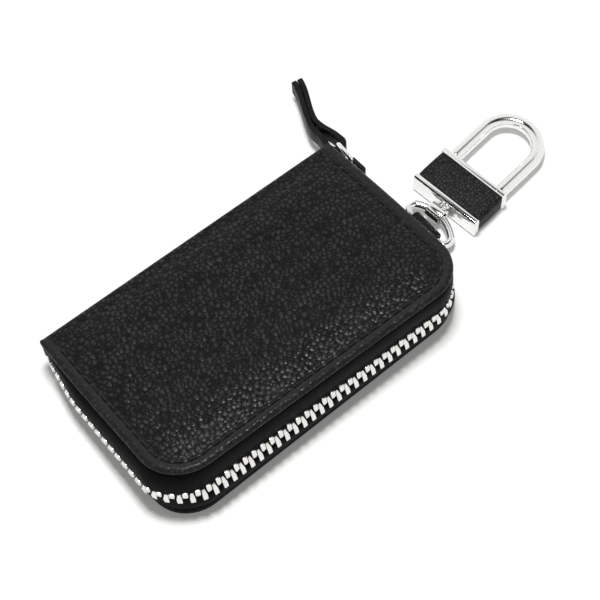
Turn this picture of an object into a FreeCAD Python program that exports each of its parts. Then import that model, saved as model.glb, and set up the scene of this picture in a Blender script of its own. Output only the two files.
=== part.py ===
import FreeCAD
import Part
import math
import os

# Zip-around leather key case lying on its back, with a swivel hook on its end.
# +X is the hook end, +Y the spine fold, -Y the zip front, +Z up from the table.
# All lengths are millimetres, and the origin is the middle of the back face.

Vector = FreeCAD.Vector
UP = Vector(0, 0, 1)
ACROSS = Vector(0, 1, 0)
ORIGIN = Vector(0, 0, 0)

# Case outline: a slight trapezoid, wedge shaped from the spine to the zip front
FRONT_LENGTH = 106.6
SPINE_LENGTH = 104.2
CASE_WIDTH = 62.0
FRONT_HEIGHT = 25.4
SPINE_HEIGHT = 16.0
FRONT_CORNER_RADIUS = 13.0
SPINE_CORNER_RADIUS = 2.5
HINGE_SET_BACK = 1.0

# Layers of each cover
LEATHER = 1.6
LEATHER_EDGE_CHAMFER = 0.7
LINING = 0.5
LINING_CLEARANCE = 0.3
STITCH_INSET = 3.4
STITCH_CHANNEL_WIDTH = 0.9
STITCH_CHANNEL_DEPTH = 0.4
SPINE_BULGE = 2.6
SPINE_END_ROOM = 0.3

# Zip tapes
TAPE = 0.8
TAPE_TUCK = 1.0
TAPE_FLANGE = 5.0
TAPE_EDGE = 1.0
TAPE_SPINE_ROOM = 0.6
ZIP_OUT = -0.7

# Zip teeth
TOOTH_PITCH = 3.1
TOOTH_LEG = 2.3
TOOTH_HEAD = 1.0
TOOTH_LEG_THICKNESS = 1.6
TOOTH_TIP_THICKNESS = 1.0
TOOTH_DEPTH = 2.2
TOOTH_SLOT_CLEARANCE = 0.05
STOP_LENGTH = 1.6
STOP_FLOOR = 0.5

# Slider
SLIDER_LENGTH = 10.0
SLIDER_WIDE = 7.0
SLIDER_NARROW = 6.2
SLIDER_WALL = 0.6
SLIDER_PLATE = 1.0
SLIDER_MOUTH = 1.3
SLIDER_CORNER = 1.6
SLIDER_SIDE_GAP = 0.2
SLIDER_END_GAP = 0.4
SLIDER_RUN = 12.0
DIAMOND_LENGTH = 3.6
DIAMOND_WIDTH = 1.4
BAIL_LENGTH = 6.8
BAIL_HEIGHT = 3.0
BAIL_WIDTH = 2.2
BAIL_THICKNESS = 1.1
BAIL_ROUND = 1.3
BAIL_SHIFT = 1.2

# Pull: a wire link and a folded leather strap
PULL_ANGLE = 5.0
STRAP_ANGLE = 7.5
LINK_WIRE = 1.4
LINK_WIRE_SIDES = 5
LINK_REACH = 7.5
LINK_HALF_WIDTH = 3.8
PULL_STRAP_LENGTH = 25.0
PULL_STRAP_WIDTH = 5.4
PULL_STRAP_LEATHER = 1.2
PULL_LOOP_RADIUS = 2.8
PULL_LOOP_LENGTH = 9.0
PULL_TIP_ROUND = 1.2

# Ring and tab at the hook end
RING_WIRE = 2.2
RING_WIRE_SIDES = 6
RING_STAND_OFF = 6.96
RING_Y = -1.7
RING_DEPTH = 6.3
RING_ARC_RADIUS = 13.0
RING_CORNER = 2.2
TAB_WIDTH = 10.0
TAB_LEATHER = 1.1
TAB_LOOP_CLEARANCE = 0.15
TAB_NOTCH_CLEARANCE = 0.3
TAB_NECK_ANGLE = 50.0
TAB_FLAT_REACH = 1.8

# Hook: swivel eye, leather-wrapped block between two plates, and a U shackle
HOOK_YAW = 7.69
EYE_RADIUS = 2.5
EYE_WIDTH = 5.0
EYE_BORE_CLEARANCE = 0.45
EYE_TO_PLATE = 3.2
POST_RADIUS = 1.5
POST_HEAD_RADIUS = 2.1
POST_HEAD = 1.2
RUNNING_CLEARANCE = 0.05
FREE_CLEARANCE = 0.3
PLATE = 2.0
PLATE_END_MARGIN = 0.4
PLATE_SIDE_MARGIN = 0.2
PLATE_EDGE_CHAMFER = 0.5
PLATE_TABLE_CLEARANCE = 0.05
BLOCK_DEPTH = 10.3
BLOCK_LENGTH = 23.7
BLOCK_HEIGHT = 6.9
BLOCK_CORNER = 1.0
WRAP = 0.8
LUG_SIDE = 1.8
LUG_SEAT = 2.5
LUG_PLACE_SHARE = 0.52
SHACKLE_WIRE = 4.2
SHACKLE_WIRE_SIDES = 8
SHACKLE_END_INSET = 2.95
SHACKLE_LEG = 14.4
SHACKLE_GAP = 0.25
STEM_RADIUS = 0.8
COLLAR_RADIUS = 1.3
COLLAR = 0.9
COLLAR_FLOOR_GAP = 0.4
WASHER = 0.4
WASHER_GAP = 0.1
SPRING_BORE_RADIUS = 1.5
SPRING_RADIUS = 1.13
SPRING_WIRE = 0.36
SPRING_TURNS = 5
SPRING_SECTIONS_A_TURN = 8
SPRING_END_GAP = 0.1

# Key ring on its riveted strap inside the case
KEY_STRAP_X = -36.0
KEY_STRAP_LENGTH = 20.0
KEY_STRAP_WIDTH = 8.0
KEY_STRAP_LEATHER = 1.2
KEY_BORE_CLEARANCE = 0.9
KEY_RING_RADIUS = 13.0
KEY_RING_BAND = 1.6
KEY_RING_HEIGHT = 3.0
KEY_RING_DROOP = 4.4
RIVET_RADIUS = 1.5
RIVET_HEAD_RADIUS = 3.0
RIVET_HEAD = 1.1
RIVET_PLACE_SHARE = 0.3

OVERRUN = 5.0
TINY = 0.01

# Levels and places worked out from the sizes above
TAPE_LEVEL = LEATHER
LINING_LEVEL = LEATHER + TAPE
INNER_LEVEL = LINING_LEVEL + LINING
STRIP_REACH = SLIDER_WIDE / 2 + SLIDER_SIDE_GAP
HINGE = Vector(0, CASE_WIDTH / 2 + HINGE_SET_BACK, SPINE_HEIGHT / 2)
HALF_TILT = math.atan2((FRONT_HEIGHT - SPINE_HEIGHT) / 2, CASE_WIDTH + HINGE_SET_BACK)
ZIP_NORMAL = Vector(0, math.sin(HALF_TILT), math.cos(HALF_TILT))
END_SLANT = math.atan2((FRONT_LENGTH - SPINE_LENGTH) / 2, CASE_WIDTH)
PLATE_LENGTH = BLOCK_LENGTH + 2 * PLATE_END_MARGIN
PLATE_HEIGHT = BLOCK_HEIGHT + 2 * PLATE_SIDE_MARGIN
HOOK_AXIS_HEIGHT = PLATE_HEIGHT / 2 + PLATE_TABLE_CLEARANCE
SHACKLE_SPACING = BLOCK_LENGTH - 2 * SHACKLE_END_INSET


def save(name, shape):
    shape.exportStep(os.path.join("parts", name + ".step"))


def to_zip_plane(shape):
    """Tilt a shape made flat at the hinge's height into the plane of the zip."""
    tilted = shape.copy()
    tilted.rotate(HINGE, Vector(-1, 0, 0), math.degrees(HALF_TILT))
    return tilted


def front_copy(shape):
    """The front half is the back half mirrored in the plane of the zip."""
    return shape.mirror(HINGE, ZIP_NORMAL)


def half_length(y):
    return SPINE_LENGTH / 2 + (CASE_WIDTH / 2 - y) * math.tan(END_SLANT)


def corner_points(grow, z, past=None):
    """Sharp corners of the outline grown by a distance, spine right first, or run past the spine."""
    spine_y = CASE_WIDTH / 2 + (grow if past is None else past)
    front_y = -CASE_WIDTH / 2 - grow
    spine_x = half_length(spine_y) + grow / math.cos(END_SLANT)
    front_x = half_length(front_y) + grow / math.cos(END_SLANT)
    return [Vector(spine_x, spine_y, z), Vector(front_x, front_y, z),
            Vector(-front_x, front_y, z), Vector(-spine_x, spine_y, z)]


def round_corner(before, corner, after, radius):
    """Start, middle and end of the arc that rounds one corner."""
    u = (before - corner).normalize()
    v = (after - corner).normalize()
    half = u.getAngle(v) / 2
    bisector = (u + v).normalize()
    middle = corner + bisector * (radius / math.sin(half) - radius)
    reach = radius / math.tan(half)
    return corner + u * reach, middle, corner + v * reach


def rounded_wire(points, radii):
    """A closed outline with an arc at each corner, or a sharp corner where the radius is zero."""
    arcs = []
    for i, corner in enumerate(points):
        arcs.append(round_corner(points[i - 1], corner, points[(i + 1) % len(points)], radii[i]))
    edges = []
    for i, (start, middle, end) in enumerate(arcs):
        if radii[i] > 0:
            edges.append(Part.Arc(start, middle, end).toShape())
        edges.append(Part.LineSegment(end, arcs[(i + 1) % len(arcs)][0]).toShape())
    return Part.Wire(edges)


def case_outline(grow, z, past=None):
    front = FRONT_CORNER_RADIUS + grow
    spine = max(SPINE_CORNER_RADIUS + grow, 0)
    return rounded_wire(corner_points(grow, z, past), [spine, front, front, spine])


def case_slab(grow, z, height, past=None):
    return Part.Face(case_outline(grow, z, past)).extrude(UP * height)


def rounded_box(length, width, height, radius, axis_along):
    """A box centred on the origin, its edges along one axis rounded."""
    box = Part.makeBox(length, width, height, Vector(-length / 2, -width / 2, -height / 2))
    edges = [e for e in box.Edges if abs(e.tangentAt(e.FirstParameter).dot(axis_along)) > 1 - TINY]
    return box.makeFillet(radius, edges)


def wire_section(edge, radius, normal, sides):
    """The section of a wire, square across the start of an edge."""
    start = edge.valueAt(edge.FirstParameter)
    across = normal.cross(edge.tangentAt(edge.FirstParameter))
    points = []
    for i in range(sides):
        angle = 2 * math.pi * (i + 1 / 2) / sides
        points.append(start + (normal * math.cos(angle) + across * math.sin(angle)) * radius)
    return Part.makePolygon(points + points[:1])


def pipe(path_edges, radius, normal, sides):
    """A wire bent flat along lines and arcs that run smoothly into each other."""
    pieces = []
    for edge in path_edges:
        disc = Part.Face(wire_section(edge, radius, normal, sides))
        if isinstance(edge.Curve, Part.Circle):
            sweep = math.degrees(edge.LastParameter - edge.FirstParameter)
            pieces.append(disc.revolve(edge.Curve.Center, edge.Curve.Axis, sweep))
        else:
            run = edge.valueAt(edge.LastParameter) - edge.valueAt(edge.FirstParameter)
            pieces.append(disc.extrude(run))
    return pieces[0].fuse(pieces[1:]).removeSplitter()


def spine_side(room):
    """A block over everything nearer the spine than the given room."""
    y = CASE_WIDTH / 2 - room
    length = FRONT_LENGTH + 2 * (ZIP_OUT + OVERRUN)
    return Part.makeBox(length, room + 4 * OVERRUN, FRONT_HEIGHT + 2 * OVERRUN,
                        Vector(-length / 2, y, -OVERRUN))


# The covers and their layers, made for the back half

def leather_cover():
    slab = case_slab(0, 0, LEATHER)
    edges = []
    for edge in slab.Edges:
        low = edge.BoundBox.ZMax < TINY
        at_spine = edge.BoundBox.YMin > CASE_WIDTH / 2 - TINY
        if low and not at_spine:
            edges.append(edge)
    cover = slab.makeChamfer(LEATHER_EDGE_CHAMFER, edges)
    half = STITCH_CHANNEL_WIDTH / 2
    channel = case_slab(half - STITCH_INSET, -OVERRUN, OVERRUN + STITCH_CHANNEL_DEPTH)
    channel = channel.cut(case_slab(-half - STITCH_INSET, -OVERRUN, 2 * OVERRUN))
    return cover.cut(channel.cut(spine_side(STITCH_INSET + SPINE_CORNER_RADIUS)))


def stiffener_board():
    return case_slab(-TAPE_TUCK - TAPE_FLANGE - LINING_CLEARANCE, TAPE_LEVEL, TAPE)


def lining_sheet():
    return case_slab(-TAPE_TUCK - TAPE - LINING_CLEARANCE, LINING_LEVEL, LINING)


def zip_tape():
    """Sewn flange, slanted gusset wall and the upright strip that carries the teeth."""
    past = 2 * OVERRUN
    flange = case_slab(-TAPE_TUCK, TAPE_LEVEL, TAPE, past)
    hole = case_slab(-TAPE_TUCK - TAPE_FLANGE, TAPE_LEVEL - OVERRUN, 2 * OVERRUN, past + OVERRUN)
    flange = flange.cut(hole)
    skins = []
    for inset in (0, TAPE):
        low = case_outline(-TAPE_TUCK - inset, TAPE_LEVEL, past + inset)
        high = case_outline(ZIP_OUT + TAPE / 2 - inset, HINGE.z - STRIP_REACH, past + inset)
        skins.append(Part.makeLoft([low, to_zip_plane(high)], True, True))
    spine_end = spine_side(TAPE_SPINE_ROOM)
    wall = skins[0].cut(spine_end).cut(skins[1])
    strip = case_slab(ZIP_OUT + TAPE / 2, HINGE.z - STRIP_REACH, STRIP_REACH - TAPE_EDGE, past)
    hole = case_slab(ZIP_OUT - TAPE / 2, HINGE.z - STRIP_REACH - OVERRUN, 2 * OVERRUN + STRIP_REACH,
                     past + OVERRUN)
    strip = to_zip_plane(strip.cut(hole)).cut(spine_end)
    return flange.cut(spine_end).fuse([wall, strip]).removeSplitter()


def fold_arc(inset):
    """One skin of the fold, from the back cover's edge to the plane of the zip."""
    y = CASE_WIDTH / 2
    rise = HINGE.z - inset
    bulge = SPINE_BULGE - inset
    part_way = math.sqrt(0.5)
    start = Vector(0, y, inset)
    middle = Vector(0, y + bulge * part_way, HINGE.z - rise * part_way)
    end = Vector(0, y + bulge, on_zip_plane(y + bulge))
    return Part.Arc(start, middle, end).toShape(), start, end


def on_zip_plane(y):
    return HINGE.z - (y - HINGE.y) * math.tan(HALF_TILT)


def spine_fold():
    """The bent leather between the two covers with its ends turned in, as one half and its mirror."""
    length = SPINE_LENGTH - 2 * SPINE_END_ROOM
    outer, out_start, out_end = fold_arc(0)
    inner, in_start, in_end = fold_arc(LEATHER)
    section = Part.Wire([outer, Part.LineSegment(out_end, in_end).toShape(), inner,
                         Part.LineSegment(in_start, out_start).toShape()])
    fold = Part.Face(section).extrude(Vector(length, 0, 0))
    chord_end = Vector(0, CASE_WIDTH / 2, on_zip_plane(CASE_WIDTH / 2))
    full = Part.Wire([outer, Part.LineSegment(out_end, chord_end).toShape(),
                      Part.LineSegment(chord_end, out_start).toShape()])
    turned_in = Part.Face(full).extrude(Vector(LEATHER, 0, 0))
    far_end = turned_in.copy()
    far_end.translate(Vector(length - LEATHER, 0, 0))
    half = fold.fuse([turned_in, far_end])
    half.translate(Vector(-length / 2, 0, 0))
    return half.fuse(front_copy(half)).removeSplitter()


# The zip's path, from the slider's end at the spine round to the far end

def zip_path():
    spine_right, front_right, front_left, spine_left = corner_points(ZIP_OUT, HINGE.z)
    radius = FRONT_CORNER_RADIUS + ZIP_OUT
    right = round_corner(spine_right, front_right, front_left, radius)
    left = round_corner(front_right, front_left, spine_left, radius)
    end_y = CASE_WIDTH / 2 - TAPE_SPINE_ROOM
    share = (spine_right.y - end_y) / (spine_right.y - front_right.y)
    start = spine_right + (front_right - spine_right) * share
    end = spine_left + (front_left - spine_left) * share
    return [Part.LineSegment(start, right[0]).toShape(), Part.Arc(*right).toShape(),
            Part.LineSegment(right[2], left[0]).toShape(), Part.Arc(*left).toShape(),
            Part.LineSegment(left[2], end).toShape()]


ZIP_PATH = zip_path()
ZIP_LENGTH = sum(edge.Length for edge in ZIP_PATH)


def at_station(shape, distance):
    """Set a shape made on local axes, along, outward and up, on the zip's path."""
    for edge in ZIP_PATH:
        if distance <= edge.Length:
            break
        distance -= edge.Length
    parameter = edge.getParameterByLength(min(distance, edge.Length))
    place = edge.valueAt(parameter)
    along = edge.tangentAt(parameter)
    outward = UP.cross(along)
    matrix = FreeCAD.Matrix(along.x, outward.x, 0, place.x, along.y, outward.y, 0, place.y,
                            0, 0, 1, place.z, 0, 0, 0, 1)
    return to_zip_plane(shape.transformed(matrix))


SLIDER_STATION = STOP_LENGTH + SLIDER_END_GAP + SLIDER_LENGTH / 2
CHAIN_START = SLIDER_STATION + SLIDER_LENGTH / 2 + SLIDER_END_GAP + TOOTH_LEG_THICKNESS / 2
RUN_END = SLIDER_STATION + SLIDER_RUN + SLIDER_LENGTH / 2 + SLIDER_END_GAP
CHAIN_END = ZIP_LENGTH - STOP_LENGTH - SLIDER_END_GAP - TOOTH_LEG_THICKNESS / 2


def tooth(row):
    """One metal tooth: two legs over the tape's edge that taper to a head."""
    right = [(TOOTH_LEG_THICKNESS / 2, TOOTH_LEG), (TOOTH_TIP_THICKNESS / 2, -TOOTH_HEAD)]
    outline = right + [(-along, up) for along, up in reversed(right)]
    points = [Vector(along, -TOOTH_DEPTH / 2, row * up) for along, up in outline]
    solid = Part.Face(Part.makePolygon(points + points[:1])).extrude(Vector(0, TOOTH_DEPTH, 0))
    slot_width = TAPE + 2 * TOOTH_SLOT_CLEARANCE
    slot_height = TOOTH_LEG + OVERRUN
    slot = Part.makeBox(TOOTH_LEG_THICKNESS + 2 * OVERRUN, slot_width, slot_height,
                        Vector(-TOOTH_LEG_THICKNESS / 2 - OVERRUN, -slot_width / 2, 0))
    if row < 0:
        slot.rotate(ORIGIN, Vector(1, 0, 0), 180)
    slot.translate(UP * row * (TAPE_EDGE - TOOTH_SLOT_CLEARANCE))
    return solid.cut(slot)


def tooth_stations(row):
    first = CHAIN_START + (TOOTH_PITCH / 2 if row < 0 else 0)
    count = int((CHAIN_END - first) / TOOTH_PITCH) + 1
    return [first + i * TOOTH_PITCH for i in range(count)]


def teeth(row, in_run):
    pattern = tooth(row)
    chosen = [s for s in tooth_stations(row) if (s < RUN_END) == in_run]
    return Part.makeCompound([at_station(pattern, s) for s in chosen])


def end_stops(row):
    """A crimped stop on the tape at each end of the chain."""
    floor = TAPE_EDGE - TOOTH_SLOT_CLEARANCE
    low = floor - STOP_FLOOR
    height = TOOTH_LEG - low
    block = Part.makeBox(STOP_LENGTH, TOOTH_DEPTH, height,
                         Vector(-STOP_LENGTH / 2, -TOOTH_DEPTH / 2, low if row > 0 else -TOOTH_LEG))
    slot_width = TAPE + 2 * TOOTH_SLOT_CLEARANCE
    slot = Part.makeBox(STOP_LENGTH + 2 * OVERRUN, slot_width, height,
                        Vector(-STOP_LENGTH / 2 - OVERRUN, -slot_width / 2, 0))
    slot.translate(UP * (floor if row > 0 else -floor - height))
    block = block.cut(slot)
    return Part.makeCompound([at_station(block, STOP_LENGTH / 2),
                              at_station(block, ZIP_LENGTH - STOP_LENGTH / 2)])


# Slider and pull, on local axes: along the zip, outward and up

def slider_outline(inset, stretch):
    """Wing outline in the middle of the tape, wide end towards the spine."""
    half = SLIDER_LENGTH / 2 + stretch
    slope = (SLIDER_WIDE - SLIDER_NARROW) / 2 / SLIDER_LENGTH
    wide = (SLIDER_WIDE + SLIDER_NARROW) / 4 + slope * half - inset
    narrow = (SLIDER_WIDE + SLIDER_NARROW) / 4 - slope * half - inset
    return [Vector(-half, 0, -wide), Vector(half, 0, -narrow),
            Vector(half, 0, narrow), Vector(-half, 0, wide)]


def slider_wing(side):
    outer = SLIDER_MOUTH / 2 + SLIDER_PLATE + TOOTH_DEPTH / 2
    blank = Part.Face(rounded_wire(slider_outline(0, 0), [SLIDER_CORNER] * 4))
    wing = blank.extrude(ACROSS * outer)
    room = slider_outline(SLIDER_WALL, OVERRUN)
    wing = wing.cut(Part.Face(Part.makePolygon(room + room[:1])).extrude(ACROSS * (outer - SLIDER_PLATE)))
    mouth = Part.makeBox(SLIDER_LENGTH + 2 * OVERRUN, SLIDER_MOUTH / 2, SLIDER_WIDE + 2 * OVERRUN,
                         Vector(-SLIDER_LENGTH / 2 - OVERRUN, 0, -SLIDER_WIDE / 2 - OVERRUN))
    wing = wing.cut(mouth)
    if side < 0:
        wing = wing.mirror(ORIGIN, ACROSS)
    return wing


WING_FACE = SLIDER_MOUTH / 2 + SLIDER_PLATE + TOOTH_DEPTH / 2


def slider_bail():
    """The arch on the outer wing that holds the pull."""
    start = -BAIL_LENGTH / 2 - BAIL_SHIFT
    blank = Part.makeBox(BAIL_LENGTH, BAIL_HEIGHT + SLIDER_PLATE / 2, BAIL_WIDTH,
                         Vector(start, WING_FACE - SLIDER_PLATE / 2, -BAIL_WIDTH / 2))
    top = WING_FACE + BAIL_HEIGHT - TINY
    edges = [e for e in blank.Edges if e.BoundBox.YMin > top and e.BoundBox.XLength < TINY]
    blank = blank.makeFillet(BAIL_ROUND, edges)
    opening = Part.makeBox(BAIL_LENGTH - 2 * BAIL_THICKNESS, BAIL_HEIGHT - BAIL_THICKNESS,
                           BAIL_WIDTH + 2 * OVERRUN,
                           Vector(start + BAIL_THICKNESS, WING_FACE, -BAIL_WIDTH / 2 - OVERRUN))
    return blank.cut(opening)


def slider_body():
    half = DIAMOND_LENGTH / 2
    middle = half - SLIDER_LENGTH / 2
    rim = [Vector(middle - half, 0, DIAMOND_WIDTH / 2), Vector(middle, 0, DIAMOND_WIDTH / 2),
           Vector(middle + half, 0, 0), Vector(middle, 0, -DIAMOND_WIDTH / 2),
           Vector(middle - half, 0, -DIAMOND_WIDTH / 2)]
    depth = WING_FACE - SLIDER_PLATE / 2
    diamond = Part.Face(Part.makePolygon(rim + rim[:1])).extrude(ACROSS * 2 * depth)
    diamond.translate(ACROSS * -depth)
    body = diamond.fuse([slider_wing(1), slider_wing(-1), slider_bail()]).removeSplitter()
    return at_station(body, SLIDER_STATION)


LINK_SEAT = Vector(BAIL_THICKNESS + LINK_WIRE / 2 + FREE_CLEARANCE - BAIL_LENGTH / 2 - BAIL_SHIFT,
                   WING_FACE + (BAIL_HEIGHT - BAIL_THICKNESS) / 2, 0)


def on_pull(shape):
    """Set a shape made along +X from the bail onto the slider, turned to the pull's rest angle."""
    turned = shape.copy()
    turned.rotate(ORIGIN, UP, 180 - PULL_ANGLE)
    turned.translate(LINK_SEAT)
    return at_station(turned, SLIDER_STATION)


def pull_link():
    """A wire loop: an upright bar through the bail and another through the strap."""
    turn = LINK_WIRE
    points = [Vector(0, 0, LINK_HALF_WIDTH), Vector(0, 0, -LINK_HALF_WIDTH),
              Vector(LINK_REACH, 0, -LINK_HALF_WIDTH), Vector(LINK_REACH, 0, LINK_HALF_WIDTH)]
    path = rounded_wire(points, [turn] * 4).OrderedEdges
    return on_pull(pipe(path, LINK_WIRE / 2, ACROSS, LINK_WIRE_SIDES))


def teardrop(radius, reach, half):
    """A loop of one radius at the origin that narrows to a strip at the reach."""
    distance = math.hypot(reach, half)
    angle = math.atan2(half, reach) + math.acos(radius / distance)
    upper = Vector(radius * math.cos(angle), radius * math.sin(angle), 0)
    lower = Vector(upper.x, -upper.y, 0)
    back = Vector(-radius, 0, 0)
    tip_high = Vector(reach, half, 0)
    tip_low = Vector(reach, -half, 0)
    edges = [Part.Arc(upper, back, lower).toShape(), Part.LineSegment(lower, tip_low).toShape(),
             Part.LineSegment(tip_low, tip_high).toShape(), Part.LineSegment(tip_high, upper).toShape()]
    return Part.Face(Part.Wire(edges))


def pull_strap():
    """A strip of leather folded round the link and glued to itself."""
    rise = UP * PULL_STRAP_WIDTH
    loop = teardrop(PULL_LOOP_RADIUS, PULL_LOOP_LENGTH, PULL_STRAP_LEATHER).extrude(rise)
    inner = teardrop(PULL_LOOP_RADIUS - PULL_STRAP_LEATHER, PULL_LOOP_LENGTH - PULL_STRAP_LEATHER,
                     TINY).extrude(rise)
    strip = Part.makeBox(PULL_STRAP_LENGTH - PULL_LOOP_LENGTH, 2 * PULL_STRAP_LEATHER, PULL_STRAP_WIDTH,
                         Vector(PULL_LOOP_LENGTH, -PULL_STRAP_LEATHER, 0))
    tip = PULL_STRAP_LENGTH - TINY
    edges = [e for e in strip.Edges if e.BoundBox.XMin > tip and e.BoundBox.YLength > TINY]
    strip = strip.makeFillet(PULL_TIP_ROUND, edges)
    strap = loop.cut(inner).fuse(strip).removeSplitter()
    seat = PULL_LOOP_RADIUS - PULL_STRAP_LEATHER - LINK_WIRE / 2 - FREE_CLEARANCE
    strap.translate(Vector(seat, 0, -PULL_STRAP_WIDTH / 2))
    strap.rotate(ORIGIN, UP, -STRAP_ANGLE)
    strap.translate(Vector(LINK_REACH, 0, 0))
    return on_pull(strap)


# Tab and ring at the hook end

RING_BAR = Vector(half_length(RING_Y) + RING_STAND_OFF, RING_Y, HOOK_AXIS_HEIGHT)
RING_CENTRE = RING_BAR + Vector(RING_DEPTH - RING_ARC_RADIUS, 0, 0)


def d_ring():
    """A wire ring with a straight bar in the tab and a round front for the eye."""
    inner = RING_ARC_RADIUS - RING_CORNER
    offset = RING_BAR.x - RING_CENTRE.x
    corner_x = RING_CORNER + offset
    corner_y = math.sqrt(inner * inner - corner_x * corner_x)
    corner = RING_CENTRE + Vector(corner_x, corner_y, 0)
    on_bar = corner - Vector(RING_CORNER, 0, 0)
    on_arc = RING_CENTRE + (corner - RING_CENTRE).normalize() * RING_ARC_RADIUS
    bisector = (on_bar - corner).normalize() + (on_arc - corner).normalize()
    middle = corner + bisector.normalize() * RING_CORNER
    apex = RING_CENTRE + Vector(RING_ARC_RADIUS, 0, 0)

    def far(point):
        return Vector(point.x, 2 * RING_Y - point.y, point.z)

    edges = [Part.LineSegment(far(on_bar), on_bar).toShape(), Part.Arc(on_bar, middle, on_arc).toShape(),
             Part.Arc(on_arc, apex, far(on_arc)).toShape(),
             Part.Arc(far(on_arc), far(middle), far(on_bar)).toShape()]
    return pipe(edges, RING_WIRE / 2, UP, RING_WIRE_SIDES)


def tab_strip(width, thickness):
    """The flat tail of the tab, from under the tape's flange to the cover's edge."""
    edge = half_length(RING_Y)
    start = half_length(RING_Y - width / 2) - TAPE_TUCK - TAPE_FLANGE
    return Part.makeBox(edge + TAB_FLAT_REACH - start, width, thickness,
                        Vector(start, RING_Y - width / 2, TAPE_LEVEL))


def hook_tab():
    """A leather strip folded round the ring's bar, its tail thinned and sewn into the seam."""
    bore = RING_WIRE / 2 + TAB_LOOP_CLEARANCE
    radius = bore + TAB_LEATHER
    tail = tab_strip(TAB_WIDTH, TAPE)
    edge = tail.BoundBox.XMax
    angle = math.radians(TAB_NECK_ANGLE)
    neck_x = RING_BAR.x - radius * math.cos(angle)
    drop = radius * math.sin(angle)
    y = RING_Y - TAB_WIDTH / 2
    rim = [Vector(edge, y, TAPE_LEVEL), Vector(neck_x, y, RING_BAR.z - drop),
           Vector(RING_BAR.x, y, RING_BAR.z), Vector(neck_x, y, RING_BAR.z + drop),
           Vector(edge, y, LINING_LEVEL)]
    neck = Part.Face(Part.makePolygon(rim + rim[:1])).extrude(ACROSS * TAB_WIDTH)
    start = Vector(RING_BAR.x, y, RING_BAR.z)
    loop = Part.makeCylinder(radius, TAB_WIDTH, start, ACROSS)
    tab = tail.fuse([neck, loop]).removeSplitter()
    return tab.cut(Part.makeCylinder(bore, TAB_WIDTH, start, ACROSS))


def tab_notch():
    """Room for the tab's tail in the tape of the back half."""
    notch = tab_strip(TAB_WIDTH + 2 * TAB_NOTCH_CLEARANCE, TAPE + TAB_NOTCH_CLEARANCE)
    inner = notch.copy()
    inner.translate(Vector(-TAB_NOTCH_CLEARANCE, 0, 0))
    return notch.fuse(inner)


# Hook pieces, on local axes: along the hook from the eye, across and up

EYE_ANGLE = math.radians(HOOK_YAW)
EYE_POINT = RING_CENTRE + Vector(math.cos(EYE_ANGLE), math.sin(EYE_ANGLE), 0) * RING_ARC_RADIUS
BASE_START = EYE_TO_PLATE
CORE_START = BASE_START + PLATE
TOP_START = CORE_START + BLOCK_DEPTH
TOP_FACE = TOP_START + PLATE
STEM_Y = -SHACKLE_SPACING / 2
COLLAR_START = CORE_START + COLLAR_FLOOR_GAP
WASHER_START = COLLAR_START + COLLAR + WASHER_GAP
SPRING_START = WASHER_START + WASHER + SPRING_END_GAP
ALONG = Vector(1, 0, 0)


def on_hook(shape):
    placed = shape.copy()
    placed.rotate(ORIGIN, UP, HOOK_YAW)
    placed.translate(EYE_POINT)
    return placed


def rod(radius, start, length, y=0):
    """A cylinder along the hook's axis."""
    return Part.makeCylinder(radius, length, Vector(start, y, 0), ALONG)


def hook_plate(start):
    plate = Part.makeBox(PLATE, PLATE_LENGTH, PLATE_HEIGHT,
                         Vector(start, -PLATE_LENGTH / 2, -PLATE_HEIGHT / 2))
    return plate.makeChamfer(PLATE_EDGE_CHAMFER, plate.Edges)


def swivel_eye():
    """An eye round the ring's wire, with a headed post that the hook turns on."""
    eye = Part.makeCylinder(EYE_RADIUS, EYE_WIDTH, Vector(0, -EYE_WIDTH / 2, 0), ACROSS)
    post = rod(POST_RADIUS, 0, CORE_START + FREE_CLEARANCE + POST_HEAD)
    head = rod(POST_HEAD_RADIUS, CORE_START + FREE_CLEARANCE, POST_HEAD)
    solid = eye.fuse([post, head]).removeSplitter()
    bore_radius = RING_WIRE / 2 + EYE_BORE_CLEARANCE
    return solid.cut(Part.makeCylinder(bore_radius, EYE_WIDTH, Vector(0, -EYE_WIDTH / 2, 0), ACROSS))


def lugs():
    """Two square lugs of the block that are peened over in the base plate."""
    place = LUG_PLACE_SHARE * BLOCK_LENGTH / 2
    half = LUG_SIDE / 2
    return [Part.makeBox(PLATE + LUG_SEAT, LUG_SIDE, LUG_SIDE, Vector(BASE_START, y - half, -half))
            for y in (-place, place)]


def base_plate():
    plate = hook_plate(BASE_START)
    bores = [rod(POST_RADIUS + RUNNING_CLEARANCE, BASE_START - OVERRUN, 2 * OVERRUN + PLATE)]
    return plate.cut(bores + lugs())


def hook_body():
    """Cast core and top plate in one, bored for the swivel head and the sprung stem."""
    core = rounded_box(BLOCK_DEPTH, BLOCK_LENGTH - 2 * WRAP, BLOCK_HEIGHT - 2 * WRAP, BLOCK_CORNER, ALONG)
    core.translate(Vector(CORE_START + BLOCK_DEPTH / 2, 0, 0))
    body = core.fuse([hook_plate(TOP_START)] + lugs()).removeSplitter()
    head_room = rod(POST_HEAD_RADIUS + FREE_CLEARANCE, CORE_START, POST_HEAD + 2 * FREE_CLEARANCE)
    spring_room = rod(SPRING_BORE_RADIUS, CORE_START, BLOCK_DEPTH, STEM_Y)
    stem_hole = rod(STEM_RADIUS + RUNNING_CLEARANCE, CORE_START, BLOCK_DEPTH + PLATE + OVERRUN, STEM_Y)
    return body.cut([head_room, spring_room, stem_hole])


def leather_wrap():
    outer = rounded_box(BLOCK_DEPTH, BLOCK_LENGTH, BLOCK_HEIGHT, BLOCK_CORNER + WRAP, ALONG)
    inner = rounded_box(BLOCK_DEPTH, BLOCK_LENGTH - 2 * WRAP, BLOCK_HEIGHT - 2 * WRAP, BLOCK_CORNER, ALONG)
    wrap = outer.cut(inner)
    wrap.translate(Vector(CORE_START + BLOCK_DEPTH / 2, 0, 0))
    return wrap


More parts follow.
